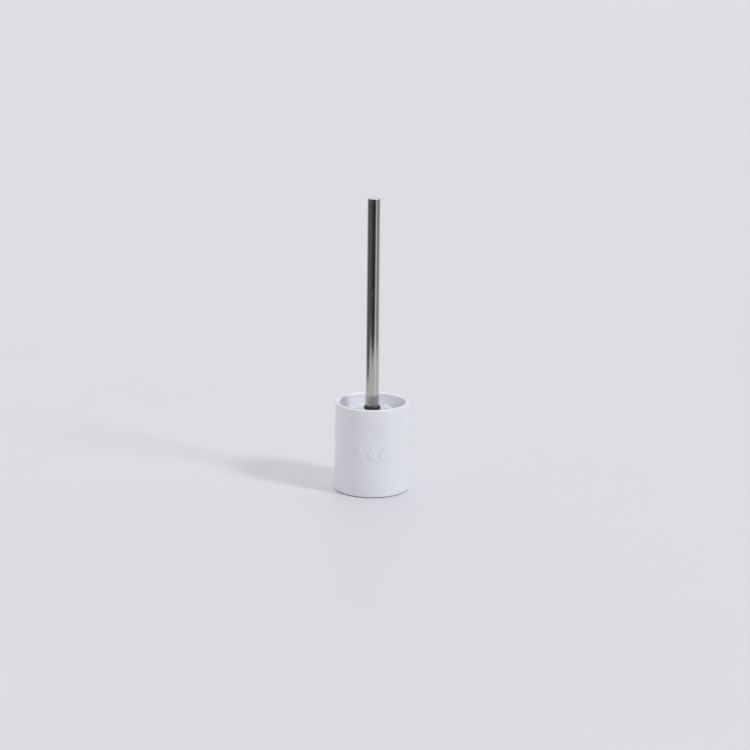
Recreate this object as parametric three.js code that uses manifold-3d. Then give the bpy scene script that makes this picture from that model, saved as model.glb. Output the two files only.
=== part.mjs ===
// A toilet brush in its holder, standing on the floor.
//
// Sizes are in millimetres and +Z is up. The origin is on the floor, under the middle of the cup, and
// the front of the object faces -Y. The holder is a glazed ceramic cup on four soft pads. The brush is
// a moulded core with fifty bristle tufts pressed into it. A plastic plug in the foot of the steel
// handle has a round thread, which passes through the neck ring and screws into the neck of the core.

import * as THREE from 'three';
import { mergeVertices } from 'three/addons/utils/BufferGeometryUtils.js';
import Module from 'manifold-3d';

// Cup
const CUP_DIAMETER = 100;
const CUP_HEIGHT = 120.9;
const CUP_WALL = 5.4;
const CUP_BASE_THICKNESS = 7.5;
const CUP_FOOT_EDGE_RADIUS = 1.5;
const CUP_FLOOR_FILLET = 6;
const FOOT_RIM_WIDTH = 17;
const FOOT_RECESS_DEPTH = 1.5;

// Raised drops on the front of the cup
const DROP_COUNT = 3;
const DROP_WIDTH = 12;
const DROP_HEIGHT = 20;
const DROP_PITCH = 16;
const DROP_RELIEF = 0.8;
const DROP_CENTRE_HEIGHT = 62.2;

// Pads under the cup
const PAD_COUNT = 4;
const PAD_DIAMETER = 10;
const PAD_THICKNESS = 0.8;
const PAD_EDGE_BEVEL = 0.3;
const PAD_MARGIN = 4.5;

// Brush core: a round nose, a barrel with the rows of tufts, a shoulder and a neck
const CORE_DIAMETER = 21;
const NOSE_CLEARANCE = 22.9;
const BARREL_END = 3.5;
const SHOULDER_HEIGHT = 5;
const NECK_DIAMETER = 18;
const NECK_HEIGHT = 13.4;

// Bristle tufts
const ROW_COUNT = 5;
const TUFTS_IN_ROW = 9;
const ROW_PITCH = 11.5;
const LOWEST_ROW_ANGLE = -35;
const HIGHEST_ROW_ANGLE = 46;
const ROW_TUFT = { rootRadius: 1.6, depth: 4, flare: 0.225 };
const BRISTLE_SIDE_CLEARANCE = 8.1;
const NOSE_TUFT_COUNT = 4;
const NOSE_TUFT_ANGLE = -60;
const NOSE_TUFT_LIFT = 1.3;
const NOSE_TUFT = { rootRadius: 1.3, depth: 3.5, flare: 0.2 };
const TUFT_DOME = 1.1;
const BRISTLE_REST_GAP = 0.3;

// Neck ring
const RING_DIAMETER = 22.9;
const RING_HEIGHT = 6.8;

// Handle tube and cap
const TUBE_DIAMETER = 17.5;
const TUBE_WALL = 0.6;
const TUBE_LENGTH = 278.6;
const CAP_BAND = 3;
const CAP_EDGE_RADIUS = 0.8;
const SPIGOT_LENGTH = 8;
const SPIGOT_WALL = 0.8;

// Plug in the foot of the tube, with its threaded stud
const PLUG_LENGTH = 22;
const PLUG_RIBS = 4;
const RIB_DEPTH = 0.45;
const RIB_FOOT_WIDTH = 2.2;
const RIB_CREST_WIDTH = 1.1;
const STUD_DIAMETER = 8;
const STUD_LENGTH = 12.4;
const STUD_CHAMFER = 0.8;
const THREAD_PITCH = 3;
const THREAD_RADIUS = 0.9;
const THREAD_CENTRE_PROUD = 0.2;
const SHANK_STEP = 0.1;

// Gap left round a piece where it fits in or through another
const FIT_GAP = 0.3;

// Number of flats round each turned shape
const CUP_SIDES = 64;
const CORE_SIDES = 36;
const HANDLE_SIDES = 36;
const PLUG_SIDES = 20;
const PAD_SIDES = 16;
const TUFT_SIDES = 8;
const THREAD_STEPS_PER_TURN = 12;
const THREAD_SIDES = 6;

// Number of flats along each rounded edge of a profile
const EDGE_STEPS = 3;
const FILLET_STEPS = 4;
const NOSE_STEPS = 6;
const LIP_STEPS = 8;
const BEAD_STEPS = 8;
const DROP_STEPS = 10;

// Corners closer together than this are one corner
const WELD_DISTANCE = 0.001;

// Places that follow from the sizes above
const cupRadius = CUP_DIAMETER / 2;
const cupInnerRadius = cupRadius - CUP_WALL;
const coreRadius = CORE_DIAMETER / 2;
const tubeRadius = TUBE_DIAMETER / 2;
const tubeInnerRadius = tubeRadius - TUBE_WALL;
const tubeFitRadius = tubeInnerRadius - FIT_GAP;
const studRadius = STUD_DIAMETER / 2;
const threadCentreRadius = studRadius + THREAD_CENTRE_PROUD;
const shankRadius = threadCentreRadius + THREAD_RADIUS + SHANK_STEP;
const cupFoot = PAD_THICKNESS;
const cupTop = cupFoot + CUP_HEIGHT;
const cupFloor = cupFoot + CUP_BASE_THICKNESS;
const bristleBottom = cupFloor + BRISTLE_REST_GAP;
const bristleReach = cupInnerRadius - BRISTLE_SIDE_CLEARANCE;
const noseCentre = cupFloor + NOSE_CLEARANCE + coreRadius;
const barrelTop = noseCentre + (ROW_COUNT - 1) * ROW_PITCH + BARREL_END;
const neckFoot = barrelTop + SHOULDER_HEIGHT;
const neckTop = neckFoot + NECK_HEIGHT;
const ringTop = neckTop + RING_HEIGHT;
const tubeTop = ringTop + TUBE_LENGTH;
const studEnd = neckTop - STUD_LENGTH;

const GLAZE = { color: 0xe6e7ea, roughness: 0.3, metalness: 0 };
const SOFT_RUBBER = { color: 0x8f9193, roughness: 0.85, metalness: 0 };
const POLISHED_STEEL = { color: 0xc4c4c2, roughness: 0.12, metalness: 1 };
const GLOSS_BLACK = { color: 0x0c0c0e, roughness: 0.15, metalness: 0 };
const MATT_BLACK = { color: 0x16171a, roughness: 0.5, metalness: 0 };
const BRISTLE_WHITE = { color: 0xf1f1ef, roughness: 0.6, metalness: 0 };

const wasm = await Module();
wasm.setup();

const radians = THREE.MathUtils.degToRad;
const holder = new THREE.Group();

function addPart(name, geometry, look) {
  const mesh = new THREE.Mesh(geometry, new THREE.MeshStandardMaterial(look));
  mesh.name = name;
  holder.add(mesh);
  return mesh;
}

// ---------------------------------------------------------------------------------------------
// Shape helpers
// ---------------------------------------------------------------------------------------------

// Points along an arc in a profile, from one angle to another in degrees, 0 being outwards.
function arc(centreRadius, centreHeight, wide, high, from, to, steps) {
  const points = [];
  for (let i = 0; i <= steps; i += 1) {
    const angle = radians(from + ((to - from) * i) / steps);
    points.push([centreRadius + wide * Math.cos(angle), centreHeight + high * Math.sin(angle)]);
  }
  return points;
}

// A profile of [radius, height] points turned about the Z axis.
function turned(profile, sides) {
  const points = profile.map(([radius, height]) => new THREE.Vector2(radius, height));
  const geometry = new THREE.LatheGeometry(points, sides);
  geometry.rotateX(Math.PI / 2);
  return geometry;
}

// A closed geometry as a solid that can be joined and cut.
function toSolid(geometry) {
  const bare = geometry.clone();
  bare.deleteAttribute('normal');
  bare.deleteAttribute('uv');
  const merged = mergeVertices(bare, WELD_DISTANCE);
  const corners = merged.index.array;
  const triangles = [];
  for (let i = 0; i < corners.length; i += 3) {
    const [a, b, c] = corners.slice(i, i + 3);
    if (a !== b && b !== c && c !== a) triangles.push(a, b, c);
  }
  return new wasm.Manifold(new wasm.Mesh({
    numProp: 3,
    vertProperties: new Float32Array(merged.attributes.position.array),
    triVerts: new Uint32Array(triangles),
  }));
}

function toGeometry(solid) {
  const { vertProperties, triVerts } = solid.getMesh();
  const geometry = new THREE.BufferGeometry();
  geometry.setAttribute('position', new THREE.BufferAttribute(vertProperties, 3));
  geometry.setIndex(new THREE.BufferAttribute(triVerts, 1));
  geometry.computeVertexNormals();
  return geometry;
}

// ---------------------------------------------------------------------------------------------
// Cup: straight wall, full-round lip, rounded floor corner, recessed underside, three raised drops
// ---------------------------------------------------------------------------------------------

function cupBody() {
  const foot = CUP_FOOT_EDGE_RADIUS;
  const fillet = CUP_FLOOR_FILLET;
  const lip = CUP_WALL / 2;
  const recessRadius = cupRadius - FOOT_RIM_WIDTH;
  return turned([
    [0, cupFoot + FOOT_RECESS_DEPTH],
    [recessRadius - FOOT_RECESS_DEPTH, cupFoot + FOOT_RECESS_DEPTH],
    [recessRadius, cupFoot],
    ...arc(cupRadius - foot, cupFoot + foot, foot, foot, -90, 0, EDGE_STEPS),
    ...arc(cupRadius - lip, cupTop - lip, lip, lip, 0, 180, LIP_STEPS),
    ...arc(cupInnerRadius - fillet, cupFloor + fillet, fillet, fillet, 0, -90, FILLET_STEPS),
    [0, cupFloor],
  ], CUP_SIDES);
}

// A drop outline round at the bottom, with straight sides that meet in a point at the top.
function dropOutline() {
  const round = DROP_WIDTH / 2;
  const roundHeight = round - DROP_HEIGHT / 2;
  const tipHeight = DROP_HEIGHT / 2;
  const tangent = Math.asin(round / (tipHeight - roundHeight));
  const outline = new THREE.Shape();
  outline.moveTo(0, tipHeight);
  outline.absarc(0, roundHeight, round, Math.PI - tangent, 2 * Math.PI + tangent, false);
  outline.closePath();
  return outline;
}

// A drop that starts inside the wall and runs past its own face, which trims it.
function raisedDrop(turn) {
  const startRadius = cupRadius - CUP_WALL / 2;
  const geometry = new THREE.ExtrudeGeometry(dropOutline(), {
    depth: cupRadius + 2 * DROP_RELIEF - startRadius,
    bevelEnabled: false,
    curveSegments: DROP_STEPS,
  });
  geometry.rotateX(Math.PI / 2);
  geometry.translate(0, -startRadius, cupFoot + DROP_CENTRE_HEIGHT);
  geometry.rotateZ(turn);
  return geometry;
}

function makeCup() {
  const dropFace = turned([
    [0, cupFoot],
    [cupRadius + DROP_RELIEF, cupFoot],
    [cupRadius + DROP_RELIEF, cupTop],
    [0, cupTop],
  ], CUP_SIDES);
  let cup = toSolid(cupBody());
  for (let i = 0; i < DROP_COUNT; i += 1) {
    const turn = ((i - (DROP_COUNT - 1) / 2) * DROP_PITCH) / cupRadius;
    cup = cup.add(toSolid(raisedDrop(turn)).intersect(toSolid(dropFace)));
  }
  addPart('holder_cup', toGeometry(cup), GLAZE);
}

function makePads() {
  const radius = PAD_DIAMETER / 2;
  const profile = [
    [0, 0],
    [radius - PAD_EDGE_BEVEL, 0],
    [radius, PAD_EDGE_BEVEL],
    [radius, PAD_THICKNESS],
    [0, PAD_THICKNESS],
  ];
  for (let i = 0; i < PAD_COUNT; i += 1) {
    const turn = ((i + 0.5) * 2 * Math.PI) / PAD_COUNT;
    const ringRadius = cupRadius - PAD_MARGIN - radius;
    const pad = addPart(`foot_pad_${i + 1}`, turned(profile, PAD_SIDES), SOFT_RUBBER);
    pad.position.set(ringRadius * Math.cos(turn), ringRadius * Math.sin(turn), 0);
  }
}

// ---------------------------------------------------------------------------------------------
// Tufts: each is a bundle that starts in a blind hole in the core and flares to a low domed tip
// ---------------------------------------------------------------------------------------------

function tuftRadius(tuft, fromRoot) {
  return tuft.rootRadius + tuft.flare * fromRoot;
}

function tuftGeometry(tuft, length) {
  const tip = tuft.depth + length;
  const tipRadius = tuftRadius(tuft, tip);
  return turned([
    [0, 0],
    [tuft.rootRadius, 0],
    ...arc(0, tip, tipRadius, TUFT_DOME, 0, 45, 1),
    [0, tip + TUFT_DOME],
  ], TUFT_SIDES);
}

// The cutter for a blind hole: the root of the tuft, larger by the fit gap all round. It stands as
// far out of the core as the hole goes in.
function tuftHoleGeometry(tuft) {
  const mouth = 2 * tuft.depth;
  return turned([
    [0, -FIT_GAP],
    [tuft.rootRadius + FIT_GAP, -FIT_GAP],
    [tuftRadius(tuft, mouth) + FIT_GAP, mouth],
    [0, mouth],
  ], TUFT_SIDES);
}

// Free length of a row tuft: the outer corner of its tip reaches the bristle reach.
function rowTuftLength(angle) {
  const lean = Math.abs(Math.sin(angle));
  const room = bristleReach - coreRadius - tuftRadius(ROW_TUFT, ROW_TUFT.depth) * lean;
  return room / (Math.cos(angle) + ROW_TUFT.flare * lean);
}

// Free length of a nose tuft: the lower corner of its tip comes down to the height given.
function noseTuftLength(angle, lowest) {
  const fall = -Math.sin(angle);
  const side = Math.cos(angle);
  const room = noseCentre - lowest - coreRadius * fall - tuftRadius(NOSE_TUFT, NOSE_TUFT.depth) * side;
  return room / (fall + NOSE_TUFT.flare * side);
}

// Each tuft's name, kind, length, and the turn, angle and entry point that place it on the core.
function tuftList() {
  const tufts = [];
  for (let row = 0; row < ROW_COUNT; row += 1) {
    const share = row / (ROW_COUNT - 1);
    const angle = radians(LOWEST_ROW_ANGLE + (HIGHEST_ROW_ANGLE - LOWEST_ROW_ANGLE) * share);
    for (let i = 0; i < TUFTS_IN_ROW; i += 1) {
      tufts.push({
        name: `tuft_row${row + 1}_${i + 1}`,
        kind: ROW_TUFT,
        length: rowTuftLength(angle),
        turn: ((i + (row % 2) / 2) * 2 * Math.PI) / TUFTS_IN_ROW,
        angle,
        entry: [coreRadius, noseCentre + row * ROW_PITCH],
      });
    }
  }
  const noseAngle = radians(NOSE_TUFT_ANGLE);
  for (let i = 0; i < NOSE_TUFT_COUNT; i += 1) {
    tufts.push({
      name: `tuft_nose_${i + 1}`,
      kind: NOSE_TUFT,
      length: noseTuftLength(noseAngle, bristleBottom + NOSE_TUFT_LIFT),
      turn: ((i + 0.5) * 2 * Math.PI) / NOSE_TUFT_COUNT,
      angle: noseAngle,
      entry: [coreRadius * Math.cos(noseAngle), noseCentre + coreRadius * Math.sin(noseAngle)],
    });
  }
  tufts.push({
    name: 'tuft_tip',
    kind: NOSE_TUFT,
    length: noseTuftLength(-Math.PI / 2, bristleBottom + TUFT_DOME),
    turn: 0,
    angle: -Math.PI / 2,
    entry: [0, noseCentre - coreRadius],
  });
  return tufts;
}

// Stands a tuft or its hole, made along +Z, on its own axis in the core.
function placeOnCore(object, { kind, turn, angle, entry: [entryRadius, entryHeight] }) {
  const rootRadius = entryRadius - kind.depth * Math.cos(angle);
  const rootHeight = entryHeight - kind.depth * Math.sin(angle);
  object.position.set(rootRadius * Math.cos(turn), rootRadius * Math.sin(turn), rootHeight);
  object.rotation.set(0, Math.PI / 2 - angle, turn, 'ZYX');
  object.updateMatrix();
}

function makeTufts(tufts) {
  for (const tuft of tufts) {
    const mesh = addPart(tuft.name, tuftGeometry(tuft.kind, tuft.length), BRISTLE_WHITE);
    placeOnCore(mesh, tuft);
  }
}

// ---------------------------------------------------------------------------------------------
// Round thread: a ridge of round section wound on the stud, and the same, larger, cut in the neck
// ---------------------------------------------------------------------------------------------

class Helix extends THREE.Curve {
  constructor(from, to) {
    super();
    this.from = from;
    this.to = to;
  }

  getPoint(t, target = new THREE.Vector3()) {
    const height = this.from + (this.to - this.from) * t;
    const turn = (2 * Math.PI * height) / THREAD_PITCH;
    return target.set(threadCentreRadius * Math.cos(turn), threadCentreRadius * Math.sin(turn), height);
  }
}

function threadGeometry(from, to, sectionRadius) {
  const section = new THREE.Shape();
  section.absarc(0, 0, sectionRadius, 0, 2 * Math.PI, false);
  return new THREE.ExtrudeGeometry(section, {
    steps: Math.ceil(((to - from) / THREAD_PITCH) * THREAD_STEPS_PER_TURN),
    curveSegments: THREAD_SIDES,
    extrudePath: new Helix(from, to),
  });
}

// ---------------------------------------------------------------------------------------------
// Brush core
// ---------------------------------------------------------------------------------------------

function makeCore(tufts) {
  const neckRadius = NECK_DIAMETER / 2;
  const boreRadius = studRadius + FIT_GAP;
  const boreEnd = studEnd - FIT_GAP;
  const threadStart = studEnd + THREAD_RADIUS;
  const aboveNeck = neckTop + THREAD_PITCH;
  let core = toSolid(turned([
    ...arc(0, noseCentre, coreRadius, coreRadius, -90, 0, NOSE_STEPS),
    [coreRadius, barrelTop],
    [neckRadius, neckFoot],
    [neckRadius, neckTop],
    [0, neckTop],
  ], CORE_SIDES));
  core = core.subtract(toSolid(turned([
    [0, boreEnd],
    [boreRadius, boreEnd],
    [boreRadius, aboveNeck],
    [0, aboveNeck],
  ], PLUG_SIDES)));
  const groove = threadGeometry(threadStart, aboveNeck, THREAD_RADIUS + FIT_GAP);
  core = core.subtract(toSolid(groove));
  for (const tuft of tufts) {
    const hole = new THREE.Mesh(tuftHoleGeometry(tuft.kind));
    placeOnCore(hole, tuft);
    core = core.subtract(toSolid(hole.geometry.applyMatrix4(hole.matrix)));
  }
  addPart('brush_core', toGeometry(core), GLOSS_BLACK);
}

// ---------------------------------------------------------------------------------------------
// Neck ring, handle tube, cap and plug
// ---------------------------------------------------------------------------------------------

function makeRing() {
  const bore = shankRadius + FIT_GAP;
  const roundWidth = RING_DIAMETER / 2 - tubeRadius;
  addPart('neck_ring', turned([
    [bore, neckTop],
    ...arc(tubeRadius, neckTop + RING_HEIGHT / 2, roundWidth, RING_HEIGHT / 2, -90, 90, BEAD_STEPS),
    [bore, ringTop],
    [bore, neckTop],
  ], HANDLE_SIDES), GLOSS_BLACK);
}

function makeTube() {
  addPart('handle_tube', turned([
    [tubeInnerRadius, ringTop],
    [tubeRadius, ringTop],
    [tubeRadius, tubeTop],
    [tubeInnerRadius, tubeTop],
    [tubeInnerRadius, ringTop],
  ], HANDLE_SIDES), POLISHED_STEEL);
}

function makeCap() {
  const edge = CAP_EDGE_RADIUS;
  addPart('handle_cap', turned([
    [0, tubeTop],
    [tubeFitRadius - SPIGOT_WALL, tubeTop],
    [tubeFitRadius - SPIGOT_WALL, tubeTop - SPIGOT_LENGTH],
    [tubeFitRadius, tubeTop - SPIGOT_LENGTH],
    [tubeFitRadius, tubeTop],
    [tubeRadius, tubeTop],
    ...arc(tubeRadius - edge, tubeTop + CAP_BAND - edge, edge, edge, 0, 90, EDGE_STEPS),
    [0, tubeTop + CAP_BAND],
  ], HANDLE_SIDES), POLISHED_STEEL);
}

function makePlug() {
  const bodyRadius = tubeFitRadius - RIB_DEPTH;
  const ribPitch = PLUG_LENGTH / PLUG_RIBS;
  const ribs = [];
  for (let i = 0; i < PLUG_RIBS; i += 1) {
    const middle = ringTop + (i + 0.5) * ribPitch;
    ribs.push([bodyRadius, middle - RIB_FOOT_WIDTH / 2]);
    ribs.push([tubeFitRadius, middle - RIB_CREST_WIDTH / 2]);
    ribs.push([tubeFitRadius, middle + RIB_CREST_WIDTH / 2]);
    ribs.push([bodyRadius, middle + RIB_FOOT_WIDTH / 2]);
  }
  const body = toSolid(turned([
    [0, studEnd],
    [studRadius - STUD_CHAMFER, studEnd],
    [studRadius, studEnd + STUD_CHAMFER],
    [studRadius, neckTop],
    [shankRadius, neckTop],
    [shankRadius, ringTop],
    [bodyRadius, ringTop],
    ...ribs,
    [bodyRadius, ringTop + PLUG_LENGTH],
    [0, ringTop + PLUG_LENGTH],
  ], PLUG_SIDES));
  const ridge = threadGeometry(studEnd + THREAD_RADIUS, neckTop - THREAD_RADIUS, THREAD_RADIUS);
  addPart('handle_plug', toGeometry(body.add(toSolid(ridge))), MATT_BLACK);
}

const tufts = tuftList();
makeCup();
makePads();
makeCore(tufts);
makeTufts(tufts);
makeRing();
makePlug();
makeTube();
makeCap();

export default holder;
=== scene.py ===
import math
import random

import bmesh
import bpy
import numpy as np
from mathutils import Matrix, Vector


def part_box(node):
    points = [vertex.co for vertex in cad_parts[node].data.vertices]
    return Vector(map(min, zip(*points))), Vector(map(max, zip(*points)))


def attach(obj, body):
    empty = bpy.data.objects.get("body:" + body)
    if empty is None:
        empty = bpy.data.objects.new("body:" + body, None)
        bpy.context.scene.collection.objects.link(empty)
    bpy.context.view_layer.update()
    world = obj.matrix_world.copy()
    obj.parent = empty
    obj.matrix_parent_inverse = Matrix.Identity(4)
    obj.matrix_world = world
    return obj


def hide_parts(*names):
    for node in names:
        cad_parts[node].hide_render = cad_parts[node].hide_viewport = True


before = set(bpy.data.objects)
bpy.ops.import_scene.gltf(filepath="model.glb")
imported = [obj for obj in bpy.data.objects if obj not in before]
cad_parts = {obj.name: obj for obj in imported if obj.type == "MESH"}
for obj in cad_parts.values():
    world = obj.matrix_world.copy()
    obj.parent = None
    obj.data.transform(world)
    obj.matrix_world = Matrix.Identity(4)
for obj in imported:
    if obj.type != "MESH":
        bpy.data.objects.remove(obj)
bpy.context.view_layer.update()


# ----------------------------------------------------------------------------------------------
# The cup. It is slip-cast white stoneware with a straight wall and a full-round lip, dipped in a
# satin glaze. Three raised drops on the front are cast with it. The ring it was fired on is wiped
# clean of glaze, so it stays bare and a little rough.
# ----------------------------------------------------------------------------------------------

cup_low, cup_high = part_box("holder_cup")
CUP_RADIUS = cup_high.x
CUP_FOOT = cup_low.z
CUP_TOP = cup_high.z
CUP_WALL = 0.0054
CUP_BASE = 0.0075
CUP_FLOOR = CUP_FOOT + CUP_BASE
FOOT_EDGE = 0.0015
FLOOR_FILLET = 0.006
FOOT_RIM = 0.017
FOOT_RECESS = 0.0015
BARE_HEIGHT = 0.0002

DROP_WIDTH = 0.012
DROP_HEIGHT = 0.020
DROP_PITCH = 0.016
DROP_UP = 0.0622
DROP_CENTRE = CUP_FOOT + DROP_UP
DROP_RELIEF = -cup_low.y - CUP_RADIUS
DROP_EDGE = 0.0016
DROP_DISH = 0.55

# The cup's mesh is fine round the drops and coarse elsewhere.
FRONT = 1.5 * math.pi
FINE_FRONT = math.radians(30)
FINE_SHARE = 0.55
FINE_STEP = 0.0004
FINE_TURN = FINE_STEP / CUP_RADIUS
WALL_STEP = 0.004
WALL_TURN = math.radians(2.5)
UNDERSIDE_STEP = 0.006
FOOT_STEP = 0.003

# Places closer together than this are the same place.
SAME_PLACE = 1e-5


def arc(centre_radius, centre_height, radius, start, end, steps, squeeze=1.0):
    """Points of an outline on an arc. Angles are in degrees: 0 is outwards and 90 is up."""
    points = []
    for i in range(steps + 1):
        angle = math.radians(start + (end - start) * i / steps)
        points.append((centre_radius + radius * math.cos(angle),
                       centre_height + squeeze * radius * math.sin(angle)))
    return points


def divided(start, end, step):
    """Points of an outline along a straight stretch, without its two ends."""
    count = max(1, round(math.dist(start, end) / step))
    first = np.array(start)
    way = np.array(end) - first
    return [tuple(first + way * i / count) for i in range(1, count)]


def turned_mesh(name, outline, turns=128, reshape=None):
    """A closed mesh: an outline of (radius, height) points turned about the Z axis.
    turns is a number of equal steps or a list of angles. reshape moves a point of the surface."""
    angles = turns if not isinstance(turns, int) else [2 * math.pi * i / turns for i in range(turns)]
    closed = outline[0] == outline[-1]
    points = outline[:-1] if closed else outline
    verts, rings = [], []
    for radius, height in points:
        if radius < SAME_PLACE:
            rings.append([len(verts)] * len(angles))
            verts.append((0, 0, height))
            continue
        rings.append(list(range(len(verts), len(verts) + len(angles))))
        for angle in angles:
            r = reshape(radius, angle, height) if reshape else radius
            verts.append((r * math.cos(angle), r * math.sin(angle), height))
    faces = []
    spans = len(rings) if closed else len(rings) - 1
    for k in range(spans):
        low, high = rings[k], rings[(k + 1) % len(rings)]
        for i in range(len(angles)):
            j = (i + 1) % len(angles)
            corners = [low[i], low[j], high[j], high[i]]
            face = [c for n, c in enumerate(corners) if c not in corners[:n]]
            if len(face) > 2:
                faces.append(face)
    mesh = bpy.data.meshes.new(name)
    mesh.from_pydata(verts, [], faces)
    return mesh


def in_scene(name, data):
    """A new object in the scene that shows a mesh, a lamp or a camera."""
    made = bpy.data.objects.new(name, data)
    bpy.context.scene.collection.objects.link(made)
    return made


def add_piece(name, mesh, materials):
    """A smooth-shaded object for a piece, with its materials. Edges over 40 degrees stay sharp."""
    mesh.polygons.foreach_set("use_smooth", [True] * len(mesh.polygons))
    mesh.set_sharp_from_angle(angle=math.radians(40))
    for material in materials:
        mesh.materials.append(material)
    return in_scene(name, mesh)


def node_maker(tree):
    """A function that adds a node to a tree. It takes each input by name, or by number as _0 or _1,
    and links it where it is given another node's output."""
    def node(kind, settings=None, **inputs):
        made = tree.nodes.new(kind)
        for key, value in (settings or {}).items():
            setattr(made, key, value)
        for key, value in inputs.items():
            number = key[1:]
            socket = made.inputs[int(number) if number.isdigit() else key.replace("_", " ")]
            if isinstance(value, bpy.types.NodeSocket):
                tree.links.new(value, socket)
            else:
                socket.default_value = value
        return made

    return node


def shades(node, factor, first, second, start=0.0, end=1.0):
    """A colour that goes from the first to the second as the factor goes from start to end."""
    ramp = node("ShaderNodeValToRGB", Fac=factor)
    for stop, place, colour in zip(ramp.color_ramp.elements, (start, end), (first, second)):
        stop.position = place
        stop.color = (*colour, 1)
    return ramp.outputs["Color"]


def new_material(name):
    """A material, its shader, a maker of nodes, and a function that links to the shader."""
    material = bpy.data.materials.new(name)
    material.use_nodes = True
    tree = material.node_tree
    shader = tree.nodes["Principled BSDF"]

    def link(source, target):
        tree.links.new(source, shader.inputs[target])

    return material, shader, node_maker(tree), link


def drop_distance(across, up):
    """Signed distance from the outline of the nearest raised drop, below zero inside it."""
    index = min(1, max(-1, round(across / DROP_PITCH)))
    x = abs(across - index * DROP_PITCH)
    round_radius = DROP_WIDTH / 2
    y = up + DROP_HEIGHT / 2 - round_radius
    tip = DROP_HEIGHT - round_radius
    slope = math.asin(round_radius / tip)
    along = x * -math.sin(slope) + y * math.cos(slope)
    if along <= 0:
        return math.hypot(x, y) - round_radius
    if along >= tip * math.cos(slope):
        return math.hypot(x, y - tip)
    return x * math.cos(slope) + y * math.sin(slope) - round_radius


def raise_drops(radius, angle, height):
    """Lifts the wall's outer face over the drops: a soft edge, and a middle that is slightly dished."""
    across = (angle - FRONT) * CUP_RADIUS
    if radius < CUP_RADIUS - SAME_PLACE or abs(across) > DROP_PITCH * 2:
        return radius
    inside = -drop_distance(across, height - DROP_CENTRE)
    rise = min(1, max(0, inside / DROP_EDGE))
    rise = rise * rise * (3 - 2 * rise)
    dish = min(1, max(0, (inside - DROP_EDGE) / (DROP_WIDTH / 2 - DROP_EDGE)))
    return radius + DROP_RELIEF * rise * (1 - DROP_DISH * dish)


def cup_mesh():
    lip = CUP_WALL / 2
    inner = CUP_RADIUS - CUP_WALL
    recess = CUP_RADIUS - FOOT_RIM
    middle = (0, CUP_FOOT + FOOT_RECESS)
    recess_edge = (recess - FOOT_RECESS, CUP_FOOT + FOOT_RECESS)
    recess_foot = (recess, CUP_FOOT)
    rim_foot = (CUP_RADIUS - FOOT_EDGE, CUP_FOOT)
    wall_foot = (CUP_RADIUS, CUP_FOOT + FOOT_EDGE)
    drops_foot = (CUP_RADIUS, DROP_CENTRE - DROP_HEIGHT * FINE_SHARE)
    drops_top = (CUP_RADIUS, DROP_CENTRE + DROP_HEIGHT * FINE_SHARE)
    wall_top = (CUP_RADIUS, CUP_TOP - lip)
    inner_top = (inner, CUP_TOP - lip)
    inner_foot = (inner, CUP_FLOOR + FLOOR_FILLET)
    floor_edge = (inner - FLOOR_FILLET, CUP_FLOOR)
    floor_middle = (0, CUP_FLOOR)
    outline = [middle]
    outline += divided(middle, recess_edge, UNDERSIDE_STEP) + [recess_edge, recess_foot]
    outline += divided(recess_foot, rim_foot, FOOT_STEP)
    outline += arc(CUP_RADIUS - FOOT_EDGE, CUP_FOOT + FOOT_EDGE, FOOT_EDGE, -90, 0, 8)
    outline += divided(wall_foot, drops_foot, WALL_STEP) + [drops_foot]
    outline += divided(drops_foot, drops_top, FINE_STEP) + [drops_top]
    outline += divided(drops_top, wall_top, WALL_STEP)
    outline += arc(CUP_RADIUS - lip, CUP_TOP - lip, lip, 0, 180, 20)
    outline += divided(inner_top, inner_foot, WALL_STEP)
    outline += arc(inner - FLOOR_FILLET, CUP_FLOOR + FLOOR_FILLET, FLOOR_FILLET, 0, -90, 12)
    outline += divided(floor_edge, floor_middle, WALL_STEP) + [floor_middle]
    fine = 2 * FINE_FRONT
    coarse = 2 * math.pi - fine
    fine_count = round(fine / FINE_TURN)
    coarse_count = round(coarse / WALL_TURN)
    turns = [FRONT - FINE_FRONT + fine * i / fine_count for i in range(fine_count)]
    turns += [FRONT + FINE_FRONT + coarse * i / coarse_count for i in range(coarse_count)]
    return turned_mesh("holder_cup_ceramic", outline, turns, raise_drops)


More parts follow.
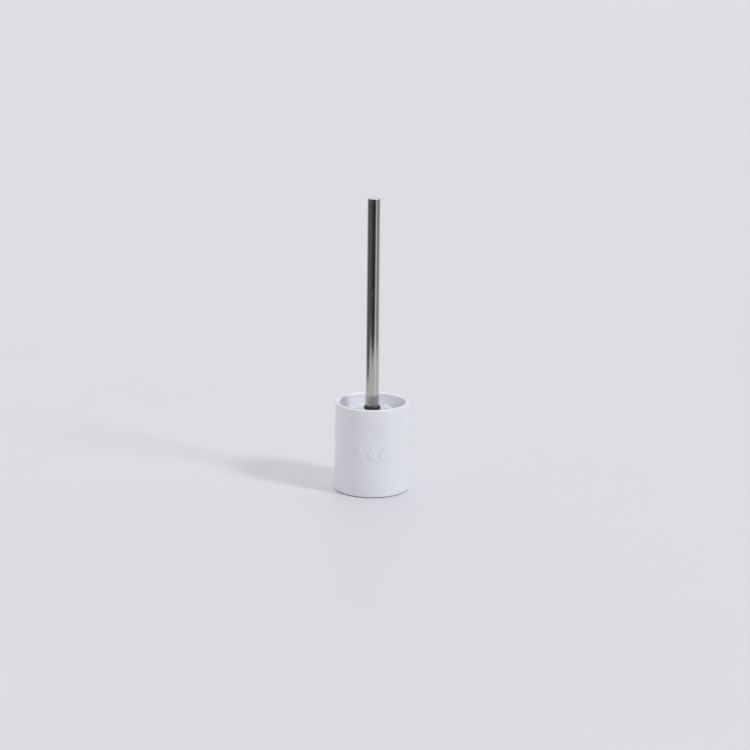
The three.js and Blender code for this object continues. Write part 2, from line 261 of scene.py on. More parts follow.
def satin_glaze():
    """White satin glaze: a shade bluish, slightly uneven in tone and gloss, with a faint orange peel
    and here and there a pinhole. It thins over the edges, where the clay warms it."""
    material, shader, node, link = new_material("satin_glaze")
    place = node("ShaderNodeTexCoord").outputs["Object"]
    clouds = node("ShaderNodeTexNoise", Vector=place, Scale=28.0, Detail=3.0, Roughness=0.55)
    tone = shades(node, clouds.outputs["Fac"], (0.83, 0.835, 0.875), (0.855, 0.86, 0.90), 0.3, 0.7)
    edge = node("ShaderNodeNewGeometry").outputs["Pointiness"]
    thin = node("ShaderNodeMapRange", Value=edge, From_Min=0.53, From_Max=0.62, To_Min=0.0, To_Max=0.5)
    warmed = node("ShaderNodeMix", {"data_type": "RGBA"}, _0=thin.outputs["Result"],
                  _6=tone, _7=(0.84, 0.825, 0.80, 1))
    pits = node("ShaderNodeTexVoronoi", Vector=place, Scale=160.0, Randomness=1.0)
    pit = node("ShaderNodeMapRange", Value=pits.outputs["Distance"], From_Min=0.02, From_Max=0.05)
    rare = node("ShaderNodeTexNoise", Vector=place, Scale=60.0, Detail=1.0)
    chosen = node("ShaderNodeMapRange", Value=rare.outputs["Fac"], From_Min=0.62, From_Max=0.66)
    spared = node("ShaderNodeMath", {"operation": "SUBTRACT"}, _0=1.0, _1=chosen.outputs["Result"])
    sound = node("ShaderNodeMath", {"operation": "MAXIMUM"}, _0=pit.outputs["Result"],
                 _1=spared.outputs[0])
    specked = node("ShaderNodeMix", {"data_type": "RGBA"}, _0=sound.outputs[0],
                   _6=(0.62, 0.61, 0.60, 1), _7=warmed.outputs[2])
    link(specked.outputs[2], "Base Color")
    gloss = node("ShaderNodeMapRange", Value=clouds.outputs["Fac"], From_Min=0.3, From_Max=0.7,
                 To_Min=0.30, To_Max=0.38)
    link(gloss.outputs["Result"], "Roughness")
    peel = node("ShaderNodeTexNoise", Vector=place, Scale=420.0, Detail=2.0, Roughness=0.5)
    sag = node("ShaderNodeTexNoise", Vector=place, Scale=70.0, Detail=1.0)
    peel_bump = node("ShaderNodeBump", Strength=0.10, Distance=0.0004, Height=peel.outputs["Fac"])
    sag_bump = node("ShaderNodeBump", Strength=0.12, Distance=0.0012, Height=sag.outputs["Fac"],
                    Normal=peel_bump.outputs["Normal"])
    link(sag_bump.outputs["Normal"], "Normal")
    shader.inputs["IOR"].default_value = 1.5
    shader.inputs["Coat Weight"].default_value = 0.25
    shader.inputs["Coat Roughness"].default_value = 0.12
    return material


def bare_clay():
    """Unglazed fired clay: warmer, matt and sandy to the touch."""
    material, shader, node, link = new_material("bare_clay")
    place = node("ShaderNodeTexCoord").outputs["Object"]
    grain = node("ShaderNodeTexNoise", Vector=place, Scale=1400.0, Detail=4.0, Roughness=0.7)
    tone = shades(node, grain.outputs["Fac"], (0.52, 0.49, 0.44), (0.68, 0.65, 0.60), 0.3, 0.72)
    link(tone, "Base Color")
    bump = node("ShaderNodeBump", Strength=0.5, Distance=0.0002, Height=grain.outputs["Fac"])
    link(bump.outputs["Normal"], "Normal")
    shader.inputs["Roughness"].default_value = 0.88
    return material


cup = add_piece("cup", cup_mesh(), [satin_glaze(), bare_clay()])
for face in cup.data.polygons:
    if face.center.z < CUP_FOOT + BARE_HEIGHT and face.normal.z < -0.9:
        face.material_index = 1
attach(cup, "holder")
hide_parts("holder_cup")


# ----------------------------------------------------------------------------------------------
# The four pads. Each is a disc of grey cellular rubber, die-cut and stuck under the foot, so that
# the cup doesn't scratch the floor or slide on it. Its cut edge is a little rounded.
# ----------------------------------------------------------------------------------------------

PAD_EDGE = 0.0003
PAD_TOP_EDGE = 0.0001


def pad_rubber():
    """Grey foamed rubber with a fine open grain."""
    material, shader, node, link = new_material("pad_rubber")
    place = node("ShaderNodeTexCoord").outputs["Object"]
    cells = node("ShaderNodeTexVoronoi", Vector=place, Scale=2600.0)
    tone = shades(node, cells.outputs["Distance"], (0.16, 0.165, 0.17), (0.27, 0.275, 0.285), end=0.6)
    link(tone, "Base Color")
    bump = node("ShaderNodeBump", Strength=0.6, Distance=0.0001, Height=cells.outputs["Distance"])
    link(bump.outputs["Normal"], "Normal")
    shader.inputs["Roughness"].default_value = 0.9
    return material


pad_material = pad_rubber()
for number in range(1, 5):
    low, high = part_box(f"foot_pad_{number}")
    radius = (high.x - low.x) / 2
    outline = [(0, 0), (radius / 2, 0)]
    outline += arc(radius - PAD_EDGE, PAD_EDGE, PAD_EDGE, -90, 0, 4)
    outline += [(radius, high.z - PAD_TOP_EDGE), (radius - PAD_TOP_EDGE, high.z), (0, high.z)]
    pad = turned_mesh(f"foot_pad_rubber_{number}", outline, turns=48)
    pad.transform(Matrix.Translation(((low.x + high.x) / 2, (low.y + high.y) / 2, 0)))
    piece = add_piece(f"pad_{number}", pad, [pad_material])
    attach(piece, "holder")
    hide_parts(f"foot_pad_{number}")


# ----------------------------------------------------------------------------------------------
# The core of the brush head. It is moulded in glossy black plastic: a round nose, a barrel with a
# blind hole for each tuft, a shoulder, and a neck with a round thread inside it. The mould's halves
# leave a fine parting line down both sides.
# ----------------------------------------------------------------------------------------------

core_low, core_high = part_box("brush_core")
CORE_RADIUS = core_high.x
CORE_NOSE = core_low.z + CORE_RADIUS
NECK_TOP = core_high.z
NECK_RADIUS = 0.009
NECK_LENGTH = 0.0134
NECK_FOOT = NECK_TOP - NECK_LENGTH
NECK_EDGE = 0.0004
SHOULDER_HEIGHT = 0.005
SHOULDER_EDGE = 0.001
BARREL_TOP = NECK_FOOT - SHOULDER_HEIGHT
BARREL_STEP = 0.002
FIT_GAP = 0.0003
PARTING_LINE = 0.00006

# All tufts point away from a place on the axis this far above the centre of the nose.
HEART_UP = 0.02
HOLE_CUTTER_LENGTH = 0.008

STUD_RADIUS = 0.004
STUD_LENGTH = 0.0124
BORE_OVERRUN = 0.002
THREAD_PITCH = 0.003
THREAD_RADIUS = 0.0009
THREAD_RAISE = 0.0002
THREAD_CENTRE = STUD_RADIUS + THREAD_RAISE
THREAD_STEPS = 40
THREAD_SIDES = 14


def tuft_measures(node):
    """Root, direction, length, root radius and tip radius of a tuft, from its CAD solid."""
    corners = np.array([v.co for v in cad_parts[node].data.vertices], float)
    middle = corners.mean(axis=0)
    direction = np.linalg.svd(corners - middle)[2][0]
    heart = np.array([0, 0, CORE_NOSE + HEART_UP])
    if direction @ (middle - heart) < 0:
        direction = -direction
    along = (corners - middle) @ direction
    out = np.linalg.norm(corners - middle - np.outer(along, direction), axis=1)
    root = middle + direction * along.min()
    length = float(np.ptp(along))
    root_radius = float(out[along < along.min() + SAME_PLACE].max())
    tip_radius = float(out.max())
    return Vector(root), Vector(direction), length, root_radius, tip_radius


TUFT_NODES = [name for name in sorted(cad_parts) if name.startswith("tuft_")]
TUFTS = {name: tuft_measures(name) for name in TUFT_NODES}


def core_mesh():
    outline = arc(0, CORE_NOSE, CORE_RADIUS, -90, 0, 24)
    outline[0] = (0, core_low.z)
    barrel_top = (CORE_RADIUS, BARREL_TOP - SHOULDER_EDGE)
    neck_foot = (NECK_RADIUS, NECK_FOOT)
    neck_top = (NECK_RADIUS, NECK_TOP - NECK_EDGE)
    outline += divided((CORE_RADIUS, CORE_NOSE), barrel_top, BARREL_STEP)
    outline += arc(CORE_RADIUS - SHOULDER_EDGE, BARREL_TOP - SHOULDER_EDGE, SHOULDER_EDGE, 0, 60, 5)
    outline += [neck_foot]
    outline += divided(neck_foot, neck_top, BARREL_STEP)
    outline += arc(NECK_RADIUS - NECK_EDGE, NECK_TOP - NECK_EDGE, NECK_EDGE, 0, 90, 4)
    outline += [(0, NECK_TOP)]

    def parting(radius, angle, height):
        on_split = abs(math.cos(angle)) > 0.9999 and height < NECK_FOOT
        return radius + (PARTING_LINE if on_split else 0)

    return turned_mesh("brush_core_moulding", outline, 160, parting)


def tuft_hole(root, direction, length, root_radius, tip_radius):
    """The cutter for a tuft's blind hole: the root of the tuft, larger by the fit gap."""
    mouth = HOLE_CUTTER_LENGTH
    flare = (tip_radius - root_radius) / length
    outline = [(0, -FIT_GAP), (root_radius + FIT_GAP, -FIT_GAP)]
    outline += [(root_radius + FIT_GAP + flare * mouth, mouth), (0, mouth)]
    hole = turned_mesh("tuft_hole", outline, turns=24)
    hole.transform(Matrix.Translation(root) @ direction.to_track_quat("Z", "Y").to_matrix().to_4x4())
    return hole


def thread_mesh(name, low, high, radius):
    """A bar of round section wound as a right-hand helix about the Z axis, from low to high."""
    turns = (high - low) / THREAD_PITCH
    steps = math.ceil(turns * THREAD_STEPS)
    verts, faces = [], []
    for i in range(steps + 1):
        height = low + (high - low) * i / steps
        angle = 2 * math.pi * height / THREAD_PITCH
        outward = Vector((math.cos(angle), math.sin(angle), 0))
        forward = Vector((-math.sin(angle) * THREAD_CENTRE, math.cos(angle) * THREAD_CENTRE,
                          THREAD_PITCH / (2 * math.pi))).normalized()
        upward = forward.cross(outward).normalized() * -1
        centre = outward * THREAD_CENTRE + Vector((0, 0, height))
        for k in range(THREAD_SIDES):
            turn = 2 * math.pi * k / THREAD_SIDES
            verts.append(centre + radius * (math.cos(turn) * outward + math.sin(turn) * upward))
    for i in range(steps):
        for k in range(THREAD_SIDES):
            a, b = i * THREAD_SIDES + k, i * THREAD_SIDES + (k + 1) % THREAD_SIDES
            faces.append((a, b, b + THREAD_SIDES, a + THREAD_SIDES))
    faces.append(tuple(reversed(range(THREAD_SIDES))))
    faces.append(tuple(range(steps * THREAD_SIDES, (steps + 1) * THREAD_SIDES)))
    mesh = bpy.data.meshes.new(name)
    mesh.from_pydata(verts, [], faces)
    return mesh


def face_out(mesh):
    """Turns every face of a closed mesh to point outwards."""
    shape = bmesh.new()
    shape.from_mesh(mesh)
    bmesh.ops.recalc_face_normals(shape, faces=shape.faces)
    shape.to_mesh(mesh)
    shape.free()
    return mesh


def combined(mesh, tools, operation):
    """A mesh joined with or cut by each tool mesh in turn."""
    body = in_scene("work_piece", face_out(mesh))
    for tool_mesh in tools:
        cut = body.modifiers.new("cut", "BOOLEAN")
        cut.operation = operation
        cut.solver = "EXACT"
        cut.object = in_scene("tool", face_out(tool_mesh))
    graph = bpy.context.evaluated_depsgraph_get()
    result = bpy.data.meshes.new_from_object(body.evaluated_get(graph))
    result.name = mesh.name
    for modifier in list(body.modifiers):
        bpy.data.objects.remove(modifier.object)
    bpy.data.objects.remove(body)
    return result


def neck_bore():
    """The cutter for the bore that the stud screws into."""
    bore = STUD_RADIUS + FIT_GAP
    bore_end = NECK_TOP - STUD_LENGTH - FIT_GAP
    above = NECK_TOP + BORE_OVERRUN
    outline = [(0, bore_end), (bore, bore_end), (bore, above), (0, above)]
    return turned_mesh("neck_bore", outline, turns=64)


def gloss_black():
    """Glossy black moulded plastic: a faint flow ripple, hairline scratches, and a little dust-dull."""
    material, shader, node, link = new_material("gloss_black")
    place = node("ShaderNodeTexCoord").outputs["Object"]
    haze = node("ShaderNodeTexNoise", Vector=place, Scale=120.0, Detail=4.0, Roughness=0.6)
    tone = shades(node, haze.outputs["Fac"], (0.006, 0.006, 0.007), (0.014, 0.014, 0.016))
    link(tone, "Base Color")
    gloss = node("ShaderNodeMapRange", Value=haze.outputs["Fac"], From_Min=0.35, From_Max=0.75,
                 To_Min=0.10, To_Max=0.22)
    link(gloss.outputs["Result"], "Roughness")
    stretch = node("ShaderNodeMapping", Vector=place, Scale=(900.0, 900.0, 60.0))
    hairs = node("ShaderNodeTexNoise", Vector=stretch.outputs["Vector"], Scale=1.0, Detail=2.0)
    hair_bump = node("ShaderNodeBump", Strength=0.06, Distance=0.0001, Height=hairs.outputs["Fac"])
    flow = node("ShaderNodeTexNoise", Vector=place, Scale=180.0, Detail=1.0)
    flow_bump = node("ShaderNodeBump", Strength=0.08, Distance=0.0006, Height=flow.outputs["Fac"],
                     Normal=hair_bump.outputs["Normal"])
    link(flow_bump.outputs["Normal"], "Normal")
    shader.inputs["Specular IOR Level"].default_value = 0.55
    return material


gloss_material = gloss_black()
groove = thread_mesh("neck_groove", NECK_TOP - STUD_LENGTH + THREAD_RADIUS, NECK_TOP + THREAD_PITCH,
                     THREAD_RADIUS + FIT_GAP)
core_body = combined(core_mesh(), [neck_bore(), groove], "DIFFERENCE")
core_body = combined(core_body, [tuft_hole(*sizes) for sizes in TUFTS.values()], "DIFFERENCE")
core = add_piece("core", core_body, [gloss_material])
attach(core, "brush_head")
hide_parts("brush_core")


# ----------------------------------------------------------------------------------------------
# The tufts. Each is a bundle of white nylon bristles, folded at the root and driven into its hole.
# The bristles leave the hole packed tight and fan out, and no two end at quite the same length.
# ----------------------------------------------------------------------------------------------

BRISTLES = 110
BRISTLE_RADIUS = 0.00023
BRISTLE_SIDES = 5
BRISTLE_STEPS = 5
BRISTLE_END = 0.75
BRISTLE_TIP = 0.6
FAN_FILL = 0.95
FAN_CURVE = 1.2
FAN_LEAST = 0.9
FAN_MOST = 1.05
SHORTEST = 0.95
LONGEST = 0.995
CROWN = 0.02
GOLDEN_TURN = math.pi * (3 - math.sqrt(5))
STRAY_TURN = 0.2
BEND = 0.0011
LEAST_BEND = 0.2
BEND_PACE = 1.1
DROOP = 0.0004


def bristle_line(sizes, index, dice):
    """Points along one bristle, from the bottom of the hole to its end."""
    root, direction, length, root_radius, tip_radius = sizes
    side = direction.to_track_quat("Z", "Y").to_matrix()
    share = math.sqrt((index + 0.5) / BRISTLES)
    turn = index * GOLDEN_TURN + dice.uniform(-STRAY_TURN, STRAY_TURN)
    spread = min(1.0, share * dice.uniform(FAN_LEAST, FAN_MOST))
    start = share * (root_radius - BRISTLE_RADIUS)
    end = spread * (tip_radius - BRISTLE_RADIUS) * FAN_FILL
    reach = length * (dice.uniform(SHORTEST, LONGEST) - CROWN * share * share)
    bow_turn = dice.uniform(0, 2 * math.pi)
    bow = BEND * dice.uniform(LEAST_BEND, 1.0)
    points = []
    for step in range(BRISTLE_STEPS + 1):
        t = step / BRISTLE_STEPS
        out = start + (end - start) * t ** FAN_CURVE
        curve = bow * math.sin(math.pi * min(1.0, t * BEND_PACE)) * t
        local = Vector((out * math.cos(turn) + curve * math.cos(bow_turn),
                        out * math.sin(turn) + curve * math.sin(bow_turn), reach * t))
        point = root + side @ local
        point.z -= DROOP * t * t
        points.append(point)
    return points


def tuft_mesh(name, sizes, dice):
    verts, faces = [], []
    for index in range(BRISTLES):
        line = bristle_line(sizes, index, dice)
        first = len(verts)
        rings = [(point, BRISTLE_RADIUS) for point in line]
        rings[-1] = (line[-1], BRISTLE_RADIUS * BRISTLE_END)
        for k, (point, radius) in enumerate(rings):
            forward = (line[min(k + 1, BRISTLE_STEPS)] - line[max(k - 1, 0)]).normalized()
            right = forward.orthogonal().normalized()
            up = forward.cross(right)
            for s in range(BRISTLE_SIDES):
                turn = 2 * math.pi * s / BRISTLE_SIDES
                verts.append(point + radius * (math.cos(turn) * right + math.sin(turn) * up))
        verts.append(line[-1] + (line[-1] - line[-2]).normalized() * BRISTLE_RADIUS * BRISTLE_TIP)
        for k in range(BRISTLE_STEPS):
            for s in range(BRISTLE_SIDES):
                a = first + k * BRISTLE_SIDES + s
                b = first + k * BRISTLE_SIDES + (s + 1) % BRISTLE_SIDES
                faces.append((a, b, b + BRISTLE_SIDES, a + BRISTLE_SIDES))
        faces.append(tuple(first + s for s in reversed(range(BRISTLE_SIDES))))
        end = first + BRISTLE_STEPS * BRISTLE_SIDES
        for s in range(BRISTLE_SIDES):
            faces.append((end + s, end + (s + 1) % BRISTLE_SIDES, len(verts) - 1))
    mesh = bpy.data.meshes.new(name)
    mesh.from_pydata(verts, [], faces)
    return mesh


def bristle_nylon():
    """White nylon: milky, with a soft gloss and small shifts of white from bristle to bristle."""
    material, shader, node, link = new_material("bristle_nylon")
    place = node("ShaderNodeTexCoord").outputs["Object"]
    patches = node("ShaderNodeTexNoise", Vector=place, Scale=900.0, Detail=2.0)
    tone = shades(node, patches.outputs["Fac"], (0.77, 0.775, 0.79), (0.91, 0.915, 0.93), 0.3, 0.7)
    link(tone, "Base Color")
    gloss = node("ShaderNodeMapRange", Value=patches.outputs["Fac"], To_Min=0.28, To_Max=0.5)
    link(gloss.outputs["Result"], "Roughness")
    return material


bristle_material = bristle_nylon()
for node_name, sizes in TUFTS.items():
    dice = random.Random(node_name)
    bundle = tuft_mesh(node_name + "_bristles", sizes, dice)
    tuft = add_piece(node_name.replace("tuft", "bristles"), bundle, [bristle_material])
    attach(tuft, "brush_head")
    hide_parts(node_name)


# ----------------------------------------------------------------------------------------------
# The neck ring. It is a bead of the same glossy black plastic, pinched between the foot of the
# handle and the neck of the core, which covers the joint and keeps water out of the tube.
# ----------------------------------------------------------------------------------------------

ring_low, ring_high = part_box("neck_ring")
tube_low, tube_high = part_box("handle_tube")
TUBE_RADIUS = tube_high.x
SHANK_STEP = 0.0001
SHANK_RADIUS = THREAD_CENTRE + THREAD_RADIUS + SHANK_STEP
RING_STEP = 0.001


def ring_mesh():
    bore = SHANK_RADIUS + FIT_GAP
    height = (ring_high.z - ring_low.z) / 2
    width = ring_high.x - TUBE_RADIUS
    bore_foot = (bore, ring_low.z)
    bore_top = (bore, ring_high.z)
    outline = [bore_foot]
    outline += divided(bore_foot, (TUBE_RADIUS, ring_low.z), RING_STEP)
    outline += arc(TUBE_RADIUS, ring_low.z + height, width, -90, 90, 28, squeeze=height / width)
    outline += divided((TUBE_RADIUS, ring_high.z), bore_top, RING_STEP) + [bore_top]
    outline += divided(bore_top, bore_foot, RING_STEP) + [bore_foot]
    return turned_mesh("neck_ring_bead", outline)


ring = add_piece("neck_bead", ring_mesh(), [gloss_material])
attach(ring, "neck")
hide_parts("neck_ring")


# ----------------------------------------------------------------------------------------------
# The plug. It is moulded in tough matt black nylon and pressed into the foot of the tube, where
# its ribs grip. Its shank passes through the ring, and its threaded stud screws into the core.
# ----------------------------------------------------------------------------------------------

plug_low, plug_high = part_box("handle_plug")
RIB_COUNT = 4
RIB_DEPTH = 0.00045
RIB_SHARE = 0.2
RIB_STRETCH = 2.0
STUD_CHAMFER = 0.0008
PLUG_CHAMFER = 0.0004


def plug_mesh():
    rib_radius = plug_high.x
    body = rib_radius - RIB_DEPTH
    pitch = (plug_high.z - tube_low.z) / RIB_COUNT
    outline = [(0, plug_low.z), (STUD_RADIUS - STUD_CHAMFER, plug_low.z)]
    outline += [(STUD_RADIUS, plug_low.z + STUD_CHAMFER), (STUD_RADIUS, NECK_TOP)]
    outline += [(SHANK_RADIUS, NECK_TOP), (SHANK_RADIUS, tube_low.z), (body, tube_low.z)]
    for i in range(RIB_COUNT):
        middle = tube_low.z + (i + 0.5) * pitch
        outline += [(body, middle - pitch * RIB_SHARE)]
        outline += arc(body, middle, RIB_DEPTH, -60, 60, 6, squeeze=RIB_STRETCH)
        outline += [(body, middle + pitch * RIB_SHARE)]
    outline += [(body, plug_high.z - PLUG_CHAMFER), (body - PLUG_CHAMFER, plug_high.z)]
    outline += [(0, plug_high.z)]
    return turned_mesh("handle_plug_moulding", outline, turns=64)


def matt_nylon():
    """Matt black nylon with the fine spark-eroded grain of its mould."""
    material, shader, node, link = new_material("matt_nylon")
    place = node("ShaderNodeTexCoord").outputs["Object"]
    grain = node("ShaderNodeTexNoise", Vector=place, Scale=2200.0, Detail=3.0, Roughness=0.6)
    tone = shades(node, grain.outputs["Fac"], (0.009, 0.009, 0.010), (0.022, 0.022, 0.024))
    link(tone, "Base Color")
    rough = node("ShaderNodeMapRange", Value=grain.outputs["Fac"], To_Min=0.42, To_Max=0.62)
    link(rough.outputs["Result"], "Roughness")
    bump = node("ShaderNodeBump", Strength=0.35, Distance=0.00008, Height=grain.outputs["Fac"])
    link(bump.outputs["Normal"], "Normal")
    return material


ridge = thread_mesh("stud_thread", plug_low.z + THREAD_RADIUS, NECK_TOP - THREAD_RADIUS, THREAD_RADIUS)
plug = add_piece("plug", combined(plug_mesh(), [ridge], "UNION"), [matt_nylon()])
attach(plug, "handle")
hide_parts("handle_plug")


# ----------------------------------------------------------------------------------------------
# The handle tube. It is a straight length of thin stainless steel tube, cut square, its ends
# eased, and polished bright on a belt that runs round it, which leaves very fine rings.
# ----------------------------------------------------------------------------------------------

TUBE_WALL = 0.0006
TUBE_EASE = 0.00012
TUBE_STEP = 0.006


def tube_mesh():
    inner = TUBE_RADIUS - TUBE_WALL
    low = tube_low.z + TUBE_EASE
    high = tube_high.z - TUBE_EASE
    outline = [(inner, low), (inner + TUBE_EASE, tube_low.z)]
    outline += [(TUBE_RADIUS - TUBE_EASE, tube_low.z), (TUBE_RADIUS, low)]
    outline += divided((TUBE_RADIUS, low), (TUBE_RADIUS, high), TUBE_STEP)
    outline += [(TUBE_RADIUS, high), (TUBE_RADIUS - TUBE_EASE, tube_high.z)]
    outline += [(inner + TUBE_EASE, tube_high.z), (inner, high)]
    outline += divided((inner, high), (inner, low), 2 * TUBE_STEP) + [(inner, low)]
    return turned_mesh("handle_tube_steel", outline, turns=160)


def polished_steel():
    """Stainless steel polished bright: fine rings from the belt, a few dull smears, warm-grey metal."""
    material, shader, node, link = new_material("polished_steel")
    place = node("ShaderNodeTexCoord").outputs["Object"]
    smears = node("ShaderNodeTexNoise", Vector=place, Scale=45.0, Detail=5.0, Roughness=0.65)
    tone = shades(node, smears.outputs["Fac"], (0.545, 0.51, 0.48), (0.595, 0.562, 0.535), 0.35, 0.7)
    link(tone, "Base Color")
    squashed = node("ShaderNodeMapping", Vector=place, Scale=(60.0, 60.0, 9000.0))
    rings = node("ShaderNodeTexNoise", Vector=squashed.outputs["Vector"], Scale=1.0, Detail=3.0)
    dull = node("ShaderNodeMapRange", Value=smears.outputs["Fac"], From_Min=0.45, From_Max=0.75,
                To_Min=0.09, To_Max=0.17)
    fine = node("ShaderNodeMapRange", Value=rings.outputs["Fac"], From_Min=0.3, From_Max=0.7,
                To_Min=-0.02, To_Max=0.03)
    rough = node("ShaderNodeMath", {"operation": "ADD"}, _0=dull.outputs["Result"],
                 _1=fine.outputs["Result"])
    link(rough.outputs[0], "Roughness")
    bump = node("ShaderNodeBump", Strength=0.05, Distance=0.00003, Height=rings.outputs["Fac"])
    link(bump.outputs["Normal"], "Normal")
    shader.inputs["Metallic"].default_value = 1.0
    return material


steel_material = polished_steel()
tube = add_piece("tube", tube_mesh(), [steel_material])
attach(tube, "handle")
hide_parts("handle_tube")


# ----------------------------------------------------------------------------------------------
# The cap. It is turned from the same steel: a flat disc flush with the tube, its top edge rounded,
# with a hollow spigot that is pressed into the tube. A hairline seam shows where the two meet.
# ----------------------------------------------------------------------------------------------

cap_low, cap_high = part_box("handle_cap")
CAP_EDGE = 0.0008
CAP_SEAM = 0.00022
CAP_STEP = 0.001
SPIGOT_WALL = 0.0008
SPIGOT_EDGE = 0.0002


def cap_mesh():
    spigot = TUBE_RADIUS - TUBE_WALL - FIT_GAP
    seam = tube_high.z
    hollow = spigot - SPIGOT_WALL
    top = (0, cap_high.z)
    outline = [(0, seam), (hollow, seam), (hollow, cap_low.z)]
    outline += [(spigot - SPIGOT_EDGE, cap_low.z), (spigot, cap_low.z + SPIGOT_EDGE), (spigot, seam)]
    outline += [(TUBE_RADIUS - CAP_SEAM, seam), (TUBE_RADIUS, seam + CAP_SEAM)]
    outline += arc(TUBE_RADIUS - CAP_EDGE, cap_high.z - CAP_EDGE, CAP_EDGE, 0, 90, 10)
    outline += divided((TUBE_RADIUS - CAP_EDGE, cap_high.z), top, CAP_STEP) + [top]
    return turned_mesh("handle_cap_steel", outline, turns=160)


cap = add_piece("cap", cap_mesh(), [steel_material])
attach(cap, "handle")
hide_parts("handle_cap")


# ----------------------------------------------------------------------------------------------
# The table and the room. A plain pale table top and floor lie under an even sky. What is glossy
# mirrors the room that stands round the table instead: dark in front, a window on the right, pale
# behind, and a pale ceiling.
# ----------------------------------------------------------------------------------------------

TABLE_FRONT = 0.74
TABLE_LEFT = 0.58
TABLE_RIGHT = 0.75
FLOOR_REACH = 20.0

# How bright the sky is overhead, and how much brighter it is behind and on the left.
SKY_LEVEL = 0.66
SKY_BEHIND = 0.20
SKY_LEFT = 0.10
BACKDROP = (0.66, 0.665, 0.69, 1)

# How bright the room is at each turn in degrees: 0 is the front, 90 the right and 180 behind.
ROOM_BY_TURN = [(-180, 0.95), (-140, 0.75), (-112, 0.26), (-95, 0.13), (-65, 0.155), (-37, 0.11),
                (-12, 0.045), (8, 0.04), (22, 0.07), (34, 0.2), (44, 0.78), (56, 0.78), (66, 0.28),
                (90, 0.30), (106, 0.55), (130, 0.95), (180, 0.95)]
ROOM_TINT = (0.95, 0.98, 1.08)
CEILING = 0.9
CEILING_START = 0.2
CEILING_FULL = 0.6


def pale_floor():
    """Pale laminate with the slightest unevenness of tone and a soft gloss."""
    material, shader, node, link = new_material("pale_floor")
    place = node("ShaderNodeTexCoord").outputs["Object"]
    clouds = node("ShaderNodeTexNoise", Vector=place, Scale=3.0, Detail=2.0)
    tone = shades(node, clouds.outputs["Fac"], (0.83, 0.835, 0.855), (0.85, 0.855, 0.875))
    link(tone, "Base Color")
    shader.inputs["Roughness"].default_value = 0.5
    return material


def floor_part(name, left, right, front, back):
    """A flat rectangle of the floor."""
    corners = [(left, front, 0), (right, front, 0), (right, back, 0), (left, back, 0)]
    mesh = bpy.data.meshes.new(name)
    mesh.from_pydata(corners, [], [(0, 1, 2, 3)])
    mesh.materials.append(floor_material)
    part = in_scene(name, mesh)
    return part


floor_material = pale_floor()
floor_part("table_top", -TABLE_LEFT, TABLE_RIGHT, -TABLE_FRONT, FLOOR_REACH)
beyond_table = [
    floor_part("floor_front", -FLOOR_REACH, FLOOR_REACH, -FLOOR_REACH, -TABLE_FRONT),
    floor_part("floor_left", -FLOOR_REACH, -TABLE_LEFT, -TABLE_FRONT, FLOOR_REACH),
    floor_part("floor_right", TABLE_RIGHT, FLOOR_REACH, -TABLE_FRONT, FLOOR_REACH),
]
for part in beyond_table:
    part.visible_glossy = False

world = bpy.data.worlds.new("studio")
world.use_nodes = True
bpy.context.scene.world = world


def sky_nodes(tree):
    """The even sky, the room that gloss mirrors, and the plain backdrop that the camera sees."""
    node = node_maker(tree)

    def maths(operation, first, second):
        return node("ShaderNodeMath", {"operation": operation}, _0=first, _1=second).outputs[0]

    def mix(factor, first, second):
        return node("ShaderNodeMix", {"data_type": "RGBA"}, _0=factor, _6=first, _7=second).outputs[2]

    direction = node("ShaderNodeTexCoord").outputs["Generated"]
    x, y, z = node("ShaderNodeSeparateXYZ", _0=direction).outputs
    behind = maths("MULTIPLY", y, SKY_BEHIND)
    left = maths("MULTIPLY", x, -SKY_LEFT)
    sky = maths("ADD", maths("ADD", behind, left), SKY_LEVEL)
    turn = maths("ARCTAN2", x, maths("MULTIPLY", y, -1.0))
    share = maths("ADD", maths("DIVIDE", turn, 2 * math.pi), 0.5)
    room = node("ShaderNodeValToRGB", Fac=share)
    stops = room.color_ramp.elements
    for degrees, _ in ROOM_BY_TURN[1:-1]:
        stops.new(degrees / 360 + 0.5)
    for stop, (degrees, level) in zip(stops, ROOM_BY_TURN):
        stop.position = degrees / 360 + 0.5
        stop.color = (*(level * part for part in ROOM_TINT), 1)
    above = node("ShaderNodeMapRange", Value=z, From_Min=CEILING_START, From_Max=CEILING_FULL)
    mirrored = mix(above.outputs["Result"], room.outputs["Color"], (CEILING, CEILING, CEILING, 1))
    rays = node("ShaderNodeLightPath").outputs
    lit = mix(rays["Is Glossy Ray"], sky, mirrored)
    seen = mix(rays["Is Camera Ray"], lit, BACKDROP)
    tree.links.new(seen, tree.nodes["Background"].inputs["Color"])


sky_nodes(world.node_tree)


# ----------------------------------------------------------------------------------------------
# The lamps. A large soft one far off on the right throws the shadow. A small one just above the
# front of the cup shines down into its mouth, straight and only as wide as the mouth; it isn't
# seen by the camera or in what is glossy.
# ----------------------------------------------------------------------------------------------

LAMP_COLOUR = (0.96, 0.975, 1.09)

KEY_TURN = math.radians(59)
KEY_RISE = math.radians(35)
KEY_WIDTH = math.radians(12)
KEY_STRENGTH = 0.98

FILL_RISE = math.radians(50)
FILL_REACH = 0.16
FILL_WIDTH = 0.086
FILL_SPREAD = math.radians(9)
FILL_STRENGTH = 0.0092


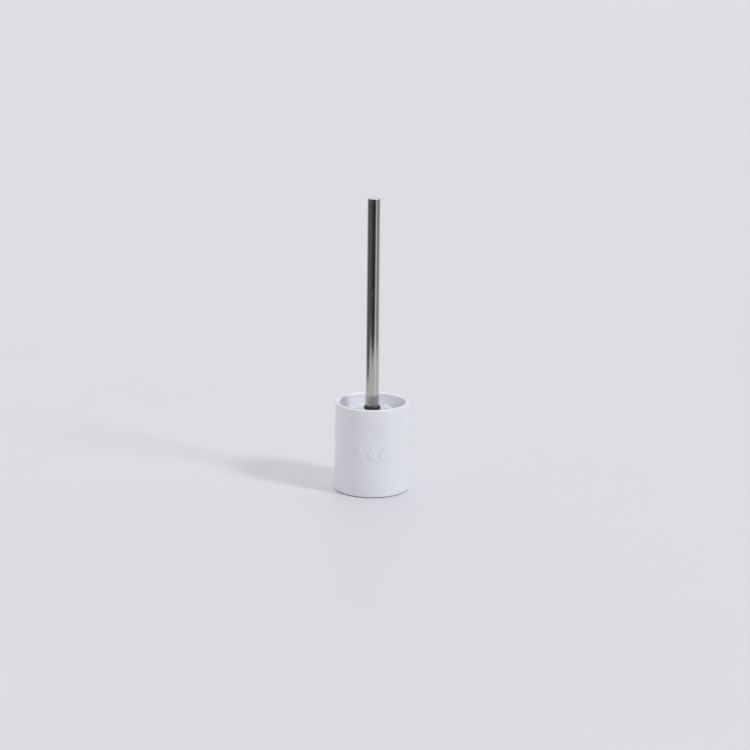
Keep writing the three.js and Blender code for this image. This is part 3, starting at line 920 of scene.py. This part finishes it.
def towards(turn, rise):
    """The direction of a lamp, turned from the front to the right and raised from the floor."""
    return Vector((math.sin(turn) * math.cos(rise), -math.cos(turn) * math.cos(rise), math.sin(rise)))


def aimed_lamp(name, kind, strength, direction):
    """A lamp that shines from its direction towards the holder, and its settings."""
    settings = bpy.data.lights.new(name, kind)
    settings.energy = strength
    settings.color = LAMP_COLOUR
    lamp = in_scene(name, settings)
    lamp.rotation_euler = (-direction).to_track_quat("-Z", "Y").to_euler()
    return lamp, settings


key, key_settings = aimed_lamp("key", "SUN", KEY_STRENGTH, towards(KEY_TURN, KEY_RISE))
key_settings.angle = KEY_WIDTH

to_fill = towards(0, FILL_RISE)
fill, fill_settings = aimed_lamp("mouth_fill", "AREA", FILL_STRENGTH, to_fill)
fill_settings.shape = "ELLIPSE"
fill_settings.size = FILL_WIDTH
fill_settings.size_y = FILL_WIDTH * math.sin(FILL_RISE)
fill_settings.spread = FILL_SPREAD
fill.location = Vector((0, 0, CUP_TOP)) + to_fill * FILL_REACH
fill.visible_camera = False
fill.visible_glossy = False


# ----------------------------------------------------------------------------------------------
# The camera. It stands three metres in front of the holder and nearly a metre above the table, and
# looks down at it through a long lens, rolled very slightly.
# ----------------------------------------------------------------------------------------------

CAMERA_DISTANCE = 3.020
CAMERA_HEIGHT = 0.9385
CAMERA_PITCH = math.radians(14.497)
CAMERA_YAW = math.radians(0.066)
CAMERA_ROLL = math.radians(0.582)
CAMERA_LENS = 111.57
CAMERA_SENSOR = 36

camera_data = bpy.data.cameras.new("camera")
camera_data.lens = CAMERA_LENS
camera_data.sensor_width = CAMERA_SENSOR
camera = in_scene("camera", camera_data)
camera.matrix_world = (Matrix.Translation((0, -CAMERA_DISTANCE, CAMERA_HEIGHT))
                       @ Matrix.Rotation(-CAMERA_YAW, 4, "Z")
                       @ Matrix.Rotation(math.pi / 2 - CAMERA_PITCH, 4, "X")
                       @ Matrix.Rotation(CAMERA_ROLL, 4, "Z"))
bpy.context.scene.camera = camera
bpy.context.scene.view_settings.view_transform = "Standard"
